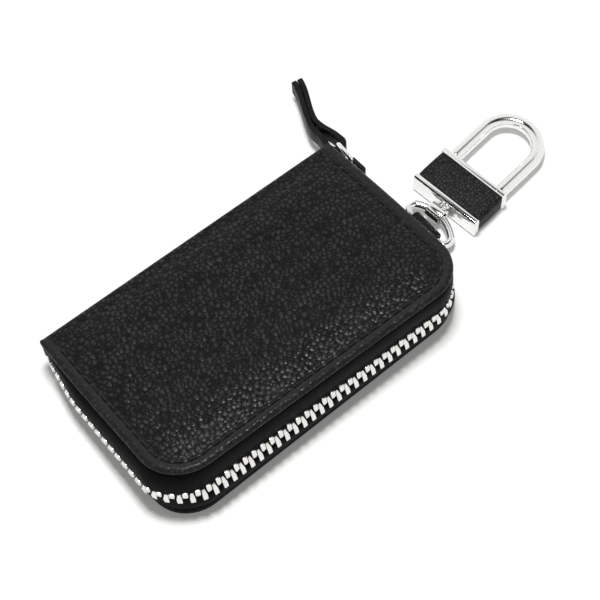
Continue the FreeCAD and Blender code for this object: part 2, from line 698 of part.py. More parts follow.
def shackle():
    """A U of round rod, with a stem on one leg that runs in the block."""
    foot = TOP_FACE + SHACKLE_GAP
    bend = foot + SHACKLE_LEG
    half = SHACKLE_SPACING / 2
    edges = [Part.LineSegment(Vector(foot, -half, 0), Vector(bend, -half, 0)).toShape(),
             Part.Arc(Vector(bend, -half, 0), Vector(bend + half, 0, 0), Vector(bend, half, 0)).toShape(),
             Part.LineSegment(Vector(bend, half, 0), Vector(foot, half, 0)).toShape()]
    bow = pipe(edges, SHACKLE_WIRE / 2, UP, SHACKLE_WIRE_SIDES)
    return bow.fuse(rod(STEM_RADIUS, COLLAR_START, foot + OVERRUN - COLLAR_START, STEM_Y)).removeSplitter()


def ring_on_stem(radius, start, length, clearance):
    ring = rod(radius, start, length, STEM_Y)
    return ring.cut(rod(STEM_RADIUS + clearance, start, length, STEM_Y))


def shackle_spring():
    """A coil of square wire between the lift washer and the top plate, lofted through its sections."""
    half = SPRING_WIRE / 2
    length = TOP_START - SPRING_END_GAP - SPRING_START - SPRING_WIRE
    steps = SPRING_TURNS * SPRING_SECTIONS_A_TURN
    sections = []
    for step in range(steps + 1):
        angle = 2 * math.pi * step / SPRING_SECTIONS_A_TURN
        radial = Vector(0, math.cos(angle), math.sin(angle))
        middle = Vector(SPRING_START + half + length * step / steps, STEM_Y, 0) + radial * SPRING_RADIUS
        rim = [middle + ALONG * a * half + radial * r * half for a, r in ((-1, -1), (-1, 1), (1, 1), (1, -1))]
        sections.append(Part.makePolygon(rim + rim[:1]))
    return Part.makeLoft(sections, True, True)


# Key strap, rivet and key ring inside the case

KEY_BORE = KEY_RING_HEIGHT / 2 + KEY_BORE_CLEARANCE
KEY_LOOP = Vector(KEY_STRAP_X + KEY_STRAP_LENGTH, 0, INNER_LEVEL + KEY_BORE + KEY_STRAP_LEATHER)
RIVET_X = KEY_STRAP_X + RIVET_PLACE_SHARE * KEY_STRAP_LENGTH


def key_strap():
    """A strip folded round the key ring, both tails under one rivet."""
    radius = KEY_BORE + KEY_STRAP_LEATHER
    y = -KEY_STRAP_WIDTH / 2
    tail = Part.makeBox(KEY_STRAP_LENGTH, KEY_STRAP_WIDTH, 2 * KEY_STRAP_LEATHER,
                        Vector(KEY_STRAP_X, y, INNER_LEVEL))
    start = Vector(KEY_LOOP.x, y, KEY_LOOP.z)
    loop = Part.makeCylinder(radius, KEY_STRAP_WIDTH, start, ACROSS)
    shoulder = KEY_LOOP.x - 2 * radius
    rim = [Vector(shoulder, y, INNER_LEVEL), Vector(KEY_LOOP.x, y, INNER_LEVEL),
           Vector(KEY_LOOP.x, y, KEY_LOOP.z),
           Vector(KEY_LOOP.x - radius / 2, y, KEY_LOOP.z + radius * math.sqrt(3) / 2),
           Vector(shoulder, y, INNER_LEVEL + 2 * KEY_STRAP_LEATHER)]
    neck = Part.Face(Part.makePolygon(rim + rim[:1])).extrude(ACROSS * KEY_STRAP_WIDTH)
    strap = tail.fuse([loop, neck]).removeSplitter()
    strap = strap.cut(Part.makeCylinder(KEY_BORE, KEY_STRAP_WIDTH, start, ACROSS))
    return strap.cut(rivet_shank(RIVET_RADIUS))


def rivet_shank(radius):
    top = INNER_LEVEL + 2 * KEY_STRAP_LEATHER
    return Part.makeCylinder(radius, top - LINING_LEVEL, Vector(RIVET_X, 0, LINING_LEVEL), UP)


def strap_rivet():
    seat = Vector(RIVET_X, 0, INNER_LEVEL + 2 * KEY_STRAP_LEATHER)
    head = Part.makeCylinder(RIVET_HEAD_RADIUS, RIVET_HEAD, seat, UP)
    return head.fuse(rivet_shank(RIVET_RADIUS)).removeSplitter()


def key_ring():
    """A flat-wound ring for keys, through the strap's loop."""
    inner = KEY_RING_RADIUS - KEY_RING_BAND
    half = KEY_RING_HEIGHT / 2
    side = [(inner, -half), (KEY_RING_RADIUS, -half), (KEY_RING_RADIUS, half), (inner, half)]
    points = [Vector(r, 0, z) for r, z in side]
    ring = Part.Face(Part.makePolygon(points + points[:1])).revolve(ORIGIN, UP, 360)
    seat = KEY_RING_RADIUS - KEY_RING_BAND / 2
    ring.translate(KEY_LOOP + Vector(seat, 0, 0))
    ring.rotate(KEY_LOOP, ACROSS, KEY_RING_DROOP)
    return ring


def build():
    os.makedirs("parts", exist_ok=True)
    cover = leather_cover()
    board = stiffener_board()
    lining = lining_sheet()
    tape = zip_tape()
    shank = rivet_shank(RIVET_RADIUS)

    save("back_cover", cover)
    save("back_board", board)
    save("back_lining", lining.cut(shank))
    save("lower_zip_tape", tape.cut(tab_notch()))
    save("front_cover", front_copy(cover))
    save("front_board", front_copy(board))
    save("front_lining", front_copy(lining))
    save("upper_zip_tape", front_copy(tape))
    save("spine_fold", spine_fold())
    for row, word in ((1, "upper"), (-1, "lower")):
        save(word + "_teeth", teeth(row, False))
        save(word + "_end_teeth", teeth(row, True))
        save(word + "_stops", end_stops(row))

    save("slider_body", slider_body())
    save("pull_link", pull_link())
    save("pull_strap", pull_strap())

    save("hook_tab", hook_tab())
    save("d_ring", d_ring())
    hook_pieces = {
        "swivel_eye": swivel_eye(),
        "base_plate": base_plate(),
        "hook_body": hook_body(),
        "leather_wrap": leather_wrap(),
        "shackle": shackle(),
        "shackle_collar": ring_on_stem(COLLAR_RADIUS, COLLAR_START, COLLAR, 0),
        "lift_washer": ring_on_stem(COLLAR_RADIUS, WASHER_START, WASHER, RUNNING_CLEARANCE),
        "shackle_spring": shackle_spring(),
    }
    for name, shape in hook_pieces.items():
        save(name, on_hook(shape))

    save("key_strap", key_strap())
    save("strap_rivet", strap_rivet())
    save("key_ring", key_ring())


build()
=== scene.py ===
import bpy
import bmesh
import math
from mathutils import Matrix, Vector, noise


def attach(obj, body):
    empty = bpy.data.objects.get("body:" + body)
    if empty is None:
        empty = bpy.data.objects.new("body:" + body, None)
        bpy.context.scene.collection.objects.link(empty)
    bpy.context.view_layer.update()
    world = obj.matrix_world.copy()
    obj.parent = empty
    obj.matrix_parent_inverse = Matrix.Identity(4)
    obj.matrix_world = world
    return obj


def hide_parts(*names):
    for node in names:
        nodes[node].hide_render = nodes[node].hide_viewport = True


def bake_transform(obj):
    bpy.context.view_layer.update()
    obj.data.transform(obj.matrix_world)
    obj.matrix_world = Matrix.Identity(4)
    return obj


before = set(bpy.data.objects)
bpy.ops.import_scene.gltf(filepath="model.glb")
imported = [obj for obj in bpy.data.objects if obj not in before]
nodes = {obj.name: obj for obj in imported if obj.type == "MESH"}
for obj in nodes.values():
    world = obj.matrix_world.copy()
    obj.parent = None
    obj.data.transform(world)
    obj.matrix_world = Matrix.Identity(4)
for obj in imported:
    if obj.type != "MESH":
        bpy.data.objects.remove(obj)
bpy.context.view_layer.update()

# The looks of a zip-around leather key case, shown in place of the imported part's nodes.
# Lengths below are millimetres in the part's own frame, and become metres when a mesh is made.
MM = 0.001
WELD, SLIVER = 0.002 * MM, 0.001 * MM
X, Y, UP = Vector((1, 0, 0)), Vector((0, 1, 0)), Vector((0, 0, 1))

# The case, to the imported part's sizes
WIDTH = 62.0
SPINE_HALF = 52.1
SIDE_SLOPE = 1.2 / WIDTH
SIDE_COS = math.cos(math.atan(SIDE_SLOPE))
FRONT_CORNER = 13.0
HINGE = Vector((0, 32, 8.0))
TILT = math.atan2(4.7, 63.0)
ZIP_NORMAL = Vector((0, math.sin(TILT), math.cos(TILT)))
BULGE = 2.6
ZIP_OUT = -0.7
SPINE_ROOM = 0.6
STITCH_INSET = 3.4
SPINE_RISE, FRONT_RISE = 16.0, 9.4

# How far the soft, zipped case settles out of that form
SKEW = 1.5
CORNER_IN = 0.6
FLARE = 2.3
HEM_IN = 1.05
BOW = 2.2
TUCK = 1.6
PINCH = 1.0
ZIP_LEAN = 0.3


def ease(low, high, x):
    """A smooth step from 0 at low to 1 at high. Low may be the larger of the two."""
    s = min(max((x - low) / (high - low), 0), 1)
    return s * s * (3 - 2 * s)


def zip_point(x, y, w):
    """A point at height w over the plane of the zip, which leans up from the hinge."""
    dy = y - HINGE.y
    return Vector((x, HINGE.y + dy * ZIP_NORMAL.z + w * ZIP_NORMAL.y,
                   HINGE.z - dy * ZIP_NORMAL.y + w * ZIP_NORMAL.z))


def mirrored(p):
    """The front half is the back half mirrored in the plane of the zip."""
    return p - 2 * (p - HINGE).dot(ZIP_NORMAL) * ZIP_NORMAL


def settle(p):
    """The zipped case sits a little askew.

    Its lower front leans in at the hook end and out at the other, and its foot is drawn in. At the hook end the
    front corner is pulled in above and flares below. At the far end the zip bows out over a tucked foot. The
    ends of the spine are pinched in."""
    share = min(max(p.z / (SPINE_RISE + (WIDTH / 2 - p.y) / WIDTH * FRONT_RISE), 0), 1)
    middle = 4 * share * (1 - share)
    lean = SKEW * (p.x / 52 + 0.25) * ease(0.96, 0.08, share) * ease(8, -24, p.y)
    corner = -CORNER_IN * ease(25, 52, p.x) * ease(10, -20, p.y)
    flare = FLARE * ease(0.42, 0.24, share) * ease(28, 50, p.x) * ease(10, -12, p.y)
    hem = HEM_IN * ease(0.32, 0.06, share) * ease(8, -24, p.y)
    bow = -BOW * middle * ease(31, 12, p.y) * ease(-33, -17, p.y)
    tuck = TUCK * ease(0.5, 0.05, share) * ease(-28, -8, p.y)
    pinch = math.copysign(PINCH, -p.x) * middle * ease(27, 32, p.y) * ease(40, 52, abs(p.x))
    far_end = (bow + tuck) * ease(-38, -52, p.x)
    return Vector((p.x + corner + flare + pinch + far_end, p.y + lean + hem, p.z))


# Mesh helpers

def make(name, verts, faces, grain=None):
    """A smooth mesh object. Grain, one value for each point, says how strongly leather shows its pebbles, and
    where it is low, how much painted sheen the leather's colour carries.
    """
    mesh = bpy.data.meshes.new(name)
    mesh.from_pydata([Vector(v) * MM for v in verts], [], faces)
    bm = bmesh.new()
    bm.from_mesh(mesh)
    if grain:
        layer = bm.verts.layers.float.new("grain")
        for v, value in zip(bm.verts, grain):
            v[layer] = value
    bmesh.ops.remove_doubles(bm, verts=bm.verts, dist=WELD)
    bmesh.ops.dissolve_degenerate(bm, edges=bm.edges, dist=SLIVER)
    bmesh.ops.recalc_face_normals(bm, faces=bm.faces)
    bm.to_mesh(mesh)
    bm.free()
    mesh.shade_smooth()
    obj = bpy.data.objects.new(name, mesh)
    bpy.context.scene.collection.objects.link(obj)
    return obj


def finish_piece(obj, material, body, slot, *stands_for):
    """Give a piece its material, the body that it rides on and the nodes that it shows instead. Its slot is not
    used.
    """
    obj.data.materials.clear()
    obj.data.materials.append(material)
    if body:
        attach(obj, body)
    if stands_for:
        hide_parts(*stands_for)
    return obj


def sweep(rings, closed_path=False, caps=True):
    """Faces over rings of points, each ring closed on itself."""
    count = len(rings[0])
    verts = [p for ring in rings for p in ring]
    faces = []
    steps = len(rings) if closed_path else len(rings) - 1
    for i in range(steps):
        a, b = i * count, (i + 1) % len(rings) * count
        for k in range(count):
            n = (k + 1) % count
            faces.append((a + k, a + n, b + n, b + k))
    if caps and not closed_path:
        faces.append(tuple(range(count)))
        faces.append(tuple(range(len(verts) - count, len(verts))))
    return verts, faces


def add_mesh(verts, faces, more):
    """Append one list of points and faces to another."""
    start = len(verts)
    verts.extend(more[0])
    faces.extend(tuple(i + start for i in face) for face in more[1])


def tube_rings(points, radius, side, sides=20, closed=False):
    """Round wire that lies flat across one direction. A radius may be a list, one for each point."""
    rings = []
    count = len(points)
    for i, p in enumerate(points):
        before = points[i - 1] if closed or i > 0 else p
        after = points[(i + 1) % count] if closed or i < count - 1 else p
        along = (after - before).normalized()
        across = side.cross(along).normalized()
        r = radius[i] if isinstance(radius, list) else radius
        rings.append([p + (side * math.cos(a) + across * math.sin(a)) * r
                      for a in (2 * math.pi * k / sides for k in range(sides))])
    return rings


def arc(centre, u, v, radius, start, end, count):
    """Points on an arc between two angles, in degrees."""
    points = []
    for i in range(count + 1):
        a = math.radians(start + (end - start) * i / count)
        points.append(centre + (u * math.cos(a) + v * math.sin(a)) * radius)
    return points


def line(a, b, count):
    """Points on a straight line, both ends included."""
    return [a.lerp(b, i / count) for i in range(count + 1)]


def segment_at(path, d):
    """The two ends of a path's segment at a distance along it, and the distance into that segment."""
    for a, b in zip(path, path[1:]):
        run = (b - a).length
        if d <= run:
            break
        d -= run
    return a, b, d


def path_length(path):
    """Length of a path of straight segments."""
    return sum((b - a).length for a, b in zip(path, path[1:]))


def rounded_rectangle(half_width, half_height, radius, steps):
    """Outline of a rectangle centred on the origin, each corner an arc of so many steps."""
    w, h = half_width, half_height
    outline = []
    for cx, cy, start in ((w - radius, h - radius, 0), (radius - w, h - radius, 90),
                          (radius - w, radius - h, 180), (w - radius, radius - h, 270)):
        for k in range(steps + 1):
            a = math.radians(start + 90 // steps * k)
            outline.append((cx + radius * math.cos(a), cy + radius * math.sin(a)))
    return outline


def band_rings(points, normals, side, width, thickness, edge=0.32):
    """A flat strap along points, its face along the normals and its width along side."""
    outline = rounded_rectangle(width / 2, thickness / 2, edge, 3)
    return [[p + side * a + n * b for a, b in outline] for p, n in zip(points, normals)]


def path_normals(points, side):
    """Directions square to a path and to the side that it lies flat across."""
    normals = []
    for i in range(len(points)):
        a = points[max(i - 1, 0)]
        b = points[min(i + 1, len(points) - 1)]
        normals.append(side.cross((b - a).normalized()).normalized())
    return normals


FLAT_ANGLE, EDGE_ANGLE = 0.01, 0.6
CREASE_ANGLE, BLOCK_CREASE, ROUND_CREASE = 0.7, 0.9, 0.8


def rounded_copy(node, width, segments=2):
    """A copy of a metal node's shape with its edges rounded, as castings and stampings have them."""
    bm = bmesh.new()
    bm.from_mesh(nodes[node].data)
    bmesh.ops.remove_doubles(bm, verts=bm.verts, dist=WELD)
    bmesh.ops.dissolve_limit(bm, angle_limit=FLAT_ANGLE, verts=bm.verts, edges=bm.edges)
    edges = [e for e in bm.edges if e.is_manifold and e.calc_face_angle() > EDGE_ANGLE]
    bmesh.ops.bevel(bm, geom=edges, offset=width * MM, segments=segments, profile=0.5,
                    affect="EDGES", clamp_overlap=True)
    mesh = bpy.data.meshes.new(node + "_metal")
    bm.to_mesh(mesh)
    bm.free()
    mesh.shade_smooth()
    mesh.set_sharp_from_angle(angle=CREASE_ANGLE)
    obj = bpy.data.objects.new(node + "_metal", mesh)
    bpy.context.scene.collection.objects.link(obj)
    return obj


# The case's outline, from the spine at the hook end round the zip front to the spine at the far end

LEAST_CORNER, LEAST_CORNER_SHARE = 2.5, 0.3
FOLD_STEPS = 18


def u_path(grow, end_y, legs, arcs, fronts):
    """Points round three sides of the outline grown by a distance, with their outward directions.

    The last three arguments are the steps along an end, round a corner and along half the front."""
    radius = max(FRONT_CORNER + grow, min(LEAST_CORNER, LEAST_CORNER_SHARE * (SPINE_HALF + grow)))

    def side_x(y):
        return SPINE_HALF + (WIDTH / 2 - y) * SIDE_SLOPE + grow / SIDE_COS

    front_y = -WIDTH / 2 - grow
    corner = Vector((side_x(front_y), front_y, 0))
    up = (Vector((side_x(end_y), end_y, 0)) - corner).normalized()
    left = -X
    half = up.angle(left) / 2
    centre = corner + (up + left).normalized() * (radius / math.sin(half))
    first = corner + up * (radius / math.tan(half))
    last = corner + left * (radius / math.tan(half))
    side_out = Vector((up.y, -up.x, 0))
    points = [(p, side_out) for p in line(Vector((side_x(end_y), end_y, 0)), first, legs)]
    sweep_angle = side_out.angle(-Y)
    start = math.atan2(side_out.y, side_out.x)
    for i in range(1, arcs):
        a = start - sweep_angle * i / arcs
        out = Vector((math.cos(a), math.sin(a), 0))
        points.append((centre + out * radius, out))
    middle = Vector((0, front_y, 0))
    points += [(p, -Y) for p in line(last, middle, fronts)]
    far = [(Vector((-p.x, p.y, 0)), Vector((-o.x, o.y, 0))) for p, o in reversed(points[:-1])]
    return points + far


def pebble_grain(inset):
    """How strongly pebbles show there: the rim is pressed nearly smooth, its sides and the stitch channel less.
    Where the value is low the leather's colour also carries painted sheen.
    """
    if 1.3 < inset < 2.7:
        return 0.3
    return 0.7 if inset < 3.9 else 1.0


def wrap_surface(name, insets, height):
    """One skin over the front cover, round the spine and over the back cover.

    Each inset is a ring at that distance from the free edge. height(part, inset, point) gives how far
    the skin stands out from the outer face there."""
    rings = []
    for t in insets:
        path = [p for p, out in u_path(-t, WIDTH / 2, 26, 12, 30)]
        ring = [mirrored(Vector((p.x, p.y, -height("front", t, p)))) for p in path]
        end_x = abs(path[0].x)
        crown = HINGE.z - (WIDTH / 2 + BULGE - HINGE.y) * math.tan(TILT)
        fold = []
        for i in range(1, FOLD_STEPS):
            a = math.pi * i / FOLD_STEPS
            b = a if a <= math.pi / 2 else math.pi - a
            out = Vector((0, math.sin(b) / BULGE, -math.cos(b) / crown)).normalized()
            p = Vector((0, WIDTH / 2 + BULGE * math.sin(b), crown - crown * math.cos(b)))
            p += out * height("spine", t, Vector((end_x, math.sin(b), 0)))
            fold.append(p if a <= math.pi / 2 else mirrored(p))
        ring += [Vector((-end_x, p.y, p.z)) for p in reversed(fold)]
        ring += [Vector((p.x, p.y, -height("back", t, p))) for p in reversed(path)]
        ring += [Vector((end_x, p.y, p.z)) for p in fold]
        rings.append(ring)
    verts, faces = sweep(rings, caps=False)
    count = len(rings[0])
    last = (len(rings) - 1) * count
    n = len(path)
    # The innermost ring is closed across the middle, each point to its mirror image
    pairs = [(k, n - 1 - k) for k in range(n // 2, -1, -1)]
    spine = [(count - 1 - i, n + i) for i in range(FOLD_STEPS - 1)]
    back_start = n + FOLD_STEPS - 1
    backs = [(back_start + n - 1 - k, back_start + k) for k in range(n // 2 + 1)]
    ladder = pairs + spine + backs
    for (a, b), (c, d) in zip(ladder, ladder[1:]):
        faces.append((last + a, last + c, last + d, last + b))
    grain = [pebble_grain(t) for t in insets for k in range(count)]
    return make(name, [settle(v) for v in verts], faces, grain)


# Materials

def shader(name, base, roughness, metallic=0.0):
    """A new material with its tree, its shader and the object's own coordinates."""
    material = bpy.data.materials.new(name)
    material.use_nodes = True
    tree = material.node_tree
    bsdf = tree.nodes["Principled BSDF"]
    bsdf.inputs["Base Color"].default_value = (*base, 1)
    bsdf.inputs["Roughness"].default_value = roughness
    bsdf.inputs["Metallic"].default_value = metallic
    coord = tree.nodes.new("ShaderNodeTexCoord")
    return material, tree, bsdf, coord.outputs["Object"]


def texture(tree, kind, coord, setting=None, **inputs):
    """A texture node with one setting, as a name and a value, and some of its inputs."""
    node = tree.nodes.new(kind)
    tree.links.new(coord, node.inputs["Vector"])
    if setting:
        setattr(node, *setting)
    for key, value in inputs.items():
        node.inputs[key.title()].default_value = value
    return node


def ramp(tree, value, stops):
    """Colours or grey levels between stops of a value."""
    node = tree.nodes.new("ShaderNodeValToRGB")
    while len(node.color_ramp.elements) < len(stops):
        node.color_ramp.elements.new(0.5)
    for element, (place, colour) in zip(node.color_ramp.elements, stops):
        element.position = place
        element.color = (*colour, 1) if isinstance(colour, tuple) else (colour, colour, colour, 1)
    tree.links.new(value, node.inputs["Fac"])
    return node.outputs["Color"]


def bump(tree, height, strength, distance, normal=None):
    """Relief of a height, over another relief if there is one."""
    node = tree.nodes.new("ShaderNodeBump")
    node.inputs["Strength"].default_value = strength
    node.inputs["Distance"].default_value = distance
    tree.links.new(height, node.inputs["Height"])
    if normal:
        tree.links.new(normal, node.inputs["Normal"])
    return node.outputs["Normal"]


LEATHER_SHINE, CLOTH_SHINE = 0.12, 0.12
PEBBLE_RANDOMNESS = 0.85
# Share of the pale pebble colour painted on the rim as sheen
RIM_PAINTED_SHEEN = 0.8


def leather(name, base, light, pebble, depth, rough, grain_and_painted_sheen=False):
    """Grained leather: pale pebbles of one size between dark creases, fine pores and an uneven gloss. The pale
    tops and dark creases are painted light and painted shade of the grain.

    Where the mesh's grain is given, the leather shows its pebbles as strongly as that grain says, and where the
    grain is low its colour is mixed towards a paler tone, a painted sheen on the raised rim."""
    material, tree, bsdf, coord = shader(name, base, rough)
    bsdf.inputs["Specular IOR Level"].default_value = LEATHER_SHINE
    density = 1 / (pebble * MM)
    cells = texture(tree, "ShaderNodeTexVoronoi", coord, ("feature", "SMOOTH_F1"), scale=density,
                    smoothness=0.25, randomness=PEBBLE_RANDOMNESS)
    creases = texture(tree, "ShaderNodeTexVoronoi", coord, ("feature", "DISTANCE_TO_EDGE"), scale=density,
                      randomness=PEBBLE_RANDOMNESS)
    pores = texture(tree, "ShaderNodeTexNoise", coord, scale=4 / (pebble * MM), detail=4.0)
    cloud = texture(tree, "ShaderNodeTexNoise", coord, scale=90.0, detail=3.0)
    pebbles = ramp(tree, cells.outputs["Distance"], [(0.0, 1.0), (0.38, 0.8), (0.75, 0.0)])
    normal = bump(tree, pebbles, 0.9, depth * MM)
    if grain_and_painted_sheen:
        grain = tree.nodes.new("ShaderNodeAttribute")
        grain.attribute_name = "grain"
        tree.links.new(grain.outputs["Fac"], normal.node.inputs["Strength"])
    normal = bump(tree, pores.outputs["Fac"], 0.25, 0.05 * MM, normal)
    tree.links.new(normal, bsdf.inputs["Normal"])
    # Creases coloured darker and pebble tops paler: painted shade and painted light of the grain
    colour = ramp(tree, creases.outputs["Distance"], [(0.0, base), (0.07, base), (0.38, light)])
    # Where the grain is low, on the rim, its sides and the stitch channel, the colour is mixed towards a paler
    # tone: painted sheen for the light a raised rim catches
    if grain_and_painted_sheen:
        mix = tree.nodes.new("ShaderNodeMix")
        mix.data_type = "RGBA"
        tree.links.new(grain.outputs["Fac"], mix.inputs["Factor"])
        mix.inputs["A"].default_value = (*(c * RIM_PAINTED_SHEEN for c in light), 1)
        tree.links.new(colour, mix.inputs["B"])
        colour = mix.outputs["Result"]
    tree.links.new(colour, bsdf.inputs["Base Color"])
    gloss = ramp(tree, cloud.outputs["Fac"], [(0.3, rough - 0.06), (0.7, rough + 0.08)])
    tree.links.new(gloss, bsdf.inputs["Roughness"])
    return material


def metal(name, base, rough, scratch):
    """Plated metal with fine wipe marks and a slightly uneven polish."""
    material, tree, bsdf, coord = shader(name, base, rough, 1.0)
    wipe = texture(tree, "ShaderNodeTexNoise", coord, scale=1800.0, detail=5.0)
    cloud = texture(tree, "ShaderNodeTexNoise", coord, scale=160.0, detail=2.0)
    gloss = ramp(tree, cloud.outputs["Fac"], [(0.3, max(rough - 0.04, 0.02)), (0.7, rough + 0.08)])
    tree.links.new(gloss, bsdf.inputs["Roughness"])
    tint = ramp(tree, wipe.outputs["Fac"], [(0.25, tuple(c * 0.9 for c in base)), (0.65, base)])
    tree.links.new(tint, bsdf.inputs["Base Color"])
    tree.links.new(bump(tree, wipe.outputs["Fac"], scratch, 0.02 * MM), bsdf.inputs["Normal"])
    return material


def cloth(name, base, pitch, rough, sheen, shine=CLOTH_SHINE):
    """Plain weave: two crossed sets of ribs with uneven yarn.

    The ribs repeat at about twice the pitch, one thread over and one under."""
    material, tree, bsdf, coord = shader(name, base, rough)
    bsdf.inputs["Sheen Weight"].default_value = sheen
    bsdf.inputs["Specular IOR Level"].default_value = shine
    normal = None
    for direction in ("X", "Y"):
        ribs = texture(tree, "ShaderNodeTexWave", coord, ("bands_direction", direction),
                       scale=1 / (pitch * MM * 6.283), distortion=0.6)
        normal = bump(tree, ribs.outputs["Fac"], 0.35, 0.08 * MM, normal)
    yarn = texture(tree, "ShaderNodeTexNoise", coord, scale=900.0, detail=4.0)
    normal = bump(tree, yarn.outputs["Fac"], 0.3, 0.06 * MM, normal)
    tree.links.new(normal, bsdf.inputs["Normal"])
    dark, pale = (tuple(c * share for c in base) for share in (0.7, 1.25))
    tint = ramp(tree, yarn.outputs["Fac"], [(0.3, dark), (0.7, pale)])
    tree.links.new(tint, bsdf.inputs["Base Color"])
    return material


# Leather: dark colour, painted shade of the creases, and pale colour, painted light of the pebble tops; pebble and
# its depth in mm, roughness
cover_leather = leather("pebbled_leather", (0.003, 0.003, 0.0033), (0.03, 0.03, 0.0306), 1.5, 0.18, 0.29,
                        grain_and_painted_sheen=True)
block_leather = leather("fine_leather", (0.005, 0.005, 0.006), (0.04, 0.04, 0.042), 1.0, 0.12, 0.45)
strap_leather = leather("strap_leather", (0.004, 0.004, 0.0044), (0.008, 0.008, 0.0084), 0.8, 0.08, 0.42)
# Cloth: colour, pitch of the weave in mm, roughness, sheen
tape_cloth = cloth("zip_tape_cloth", (0.003, 0.003, 0.004), 0.45, 0.5, 0.0, 0.03)
lining_cloth = cloth("lining_cloth", (0.028, 0.028, 0.032), 0.6, 0.7, 0.2)
thread = cloth("sewing_thread", (0.013, 0.013, 0.014), 0.3, 0.45, 0.15)
board = cloth("stiffener_board", (0.2, 0.18, 0.15), 1.1, 0.85, 0.0)
# Metal: colour, roughness, depth of the wipe marks
zip_metal = metal("zip_metal", (0.93, 0.92, 0.9), 0.22, 0.12)
chrome = metal("chrome_plate", (0.95, 0.95, 0.95), 0.07, 0.06)
lacquer = metal("slider_lacquer", (0.03, 0.03, 0.032), 0.2, 0.1)
steel = metal("spring_steel", (0.62, 0.62, 0.64), 0.28, 0.2)


# Leather shell: front cover, spine and back cover in one piece, turned in at its edges

# Distance in from the free edge, and height over the cover's face there
EDGE = [(1.7, -1.55), (0.7, -1.6), (0.2, -1.38), (0.0, -0.95), (0.06, -0.5), (0.32, -0.08), (0.8, 0.2),
        (1.4, 0.36), (2.0, 0.3), (2.6, 0.02), (3.0, -0.3), (3.4, -0.5), (3.8, -0.3), (4.3, -0.05), (5.0, 0.0)]
INSIDE = [6.0, 7.5, 9.5, 12.0, 15.0, 18.5, 22.0, 26.0, 30.0, 34.0, 38.0, 42.0, 46.0, 49.5, 51.6]
EDGE_HEIGHT = dict(EDGE)
TURNED_IN = 1.0
PUFF = 1.3
WAVE, WAVE_LENGTH = 0.14, 17.0


def shell_height(part, t, p):
    """How far the leather stands out from the covers' outer faces: its rim, soft puff and slight waves."""
    edge = EDGE_HEIGHT.get(t, 0.0)
    if part == "spine":
        return edge if t < TURNED_IN else 0.0
    from_spine = WIDTH / 2 - p.y
    rim = edge if t < TURNED_IN else edge * ease(0.5, 4, from_spine)
    if part == "back":
        return min(rim, 0.0)
    puff = PUFF * ease(2.6, 12, t) * ease(0, 10, from_spine)
    wave = WAVE * noise.noise(Vector((p.x, p.y, 0)) / WAVE_LENGTH) * ease(3, 9, t) * ease(0, 6, from_spine)
    return rim + puff + wave


shell = wrap_surface("leather_shell", [t for t, h in EDGE] + INSIDE, shell_height)
finish_piece(shell, cover_leather, None, "cover_leather", "back_cover", "front_cover", "spine_fold")


def stitch_row(name, front):
    """Thread stitches lying in the pressed channel round three sides."""
    pitch, length, radius, steps = 3.9, 3.0, 0.26, 8
    sunk, arch, end_room = 0.34, 0.3, 4.5
    path = [p for p, out in u_path(-STITCH_INSET, WIDTH / 2 - end_room, 30, 14, 34)]
    verts, faces = [], []
    for i in range(int(path_length(path) / pitch)):
        start = (i + 0.1) * pitch
        points, thick = [], []
        for k in range(steps + 1):
            share = k / steps
            a, b, rest = segment_at(path, start + share * length)
            p = a.lerp(b, rest / (b - a).length)
            p = Vector((p.x, p.y, sunk - arch * math.sin(math.pi * share) ** 0.6))
            points.append(mirrored(p) if front else p)
            thick.append(radius * (0.5 + 0.5 * math.sin(math.pi * share)))
        side = ZIP_NORMAL if front else UP
        add_mesh(verts, faces, sweep(tube_rings(points, thick, side, 8)))
    return make(name, [settle(v) for v in verts], faces)


finish_piece(stitch_row("front_stitches", True), thread, "front_half", "cover_leather")
finish_piece(stitch_row("back_stitches", False), thread, "back_half", "cover_leather")


# Lining: one cloth over both boards and round the inside of the fold

LINING_DEPTH, LINING_SLACK = 2.65, 0.75
LINING_WAVE, LINING_WAVE_LENGTH = 0.12, 14.0


def lining_height(part, t, p):
    """The cloth's distance inside the covers' outer faces, with slight waves."""
    if part == "spine":
        return -LINING_DEPTH + LINING_SLACK * p.y
    wave = LINING_WAVE * noise.noise(Vector((p.x, p.y, 3)) / LINING_WAVE_LENGTH)
    return -LINING_DEPTH - wave * ease(3, 8, t)


lining = wrap_surface("lining_sheet", [2.2, 3.2, 4.5] + INSIDE, lining_height)
finish_piece(lining, lining_cloth, None, "lining", "back_lining", "front_lining")


# Zip tapes: gusset cloth from under the covers' edges to the chain

# Section of a tape. Each point of the two faces has its distance out from the outline, its share of the way up
# from the seam to the strip, and its level in the seam. Each point of the strip that carries the teeth has its
# distance out and its height over the zip plane
TAPE_OUTER = [(-5.8, 0, 1.62), (-2.0, 0, 1.62), (-1.2, 0.0, 1.66), (-0.75, 0.05, 1.7), (-0.4, 0.16, 1.7),
              (-0.18, 0.34, 1.7), (-0.1, 0.58, 1.7), (-0.15, 0.84, 1.7), (-0.26, 1.0, 1.7)]
TAPE_INNER = [(-1.1, 1.0, 2.4), (-0.98, 0.82, 2.4), (-0.95, 0.58, 2.4), (-1.0, 0.36, 2.4), (-1.25, 0.18, 2.4),
              (-1.6, 0.06, 2.4), (-2.4, 0, 2.38), (-5.8, 0, 2.38)]
TAPE_EDGE = [(-0.29, -2.9), (-0.3, -2.0), (-0.34, -1.2), (-0.5, -1.02), (-0.9, -1.02), (-1.06, -1.2),
             (-1.1, -2.0), (-1.1, -2.9)]
STRIP_FOOT, STRIP_LEVEL = -3.7, 1.7
LEAN_HEIGHT = 2.3


def zip_lean(w, p):
    """How far out the chain and the tapes' edges stand at a height over the zip plane.

    The zip faces up a little along the front, and the other way near the far end."""
    front = ease(52, 34, p.x) * (1.3 * ease(-53, -37, p.x) - 0.3)
    return -ZIP_LEAN * math.copysign(min(abs(w), LEAN_HEIGHT), w) * ease(26, 12, p.y) * front


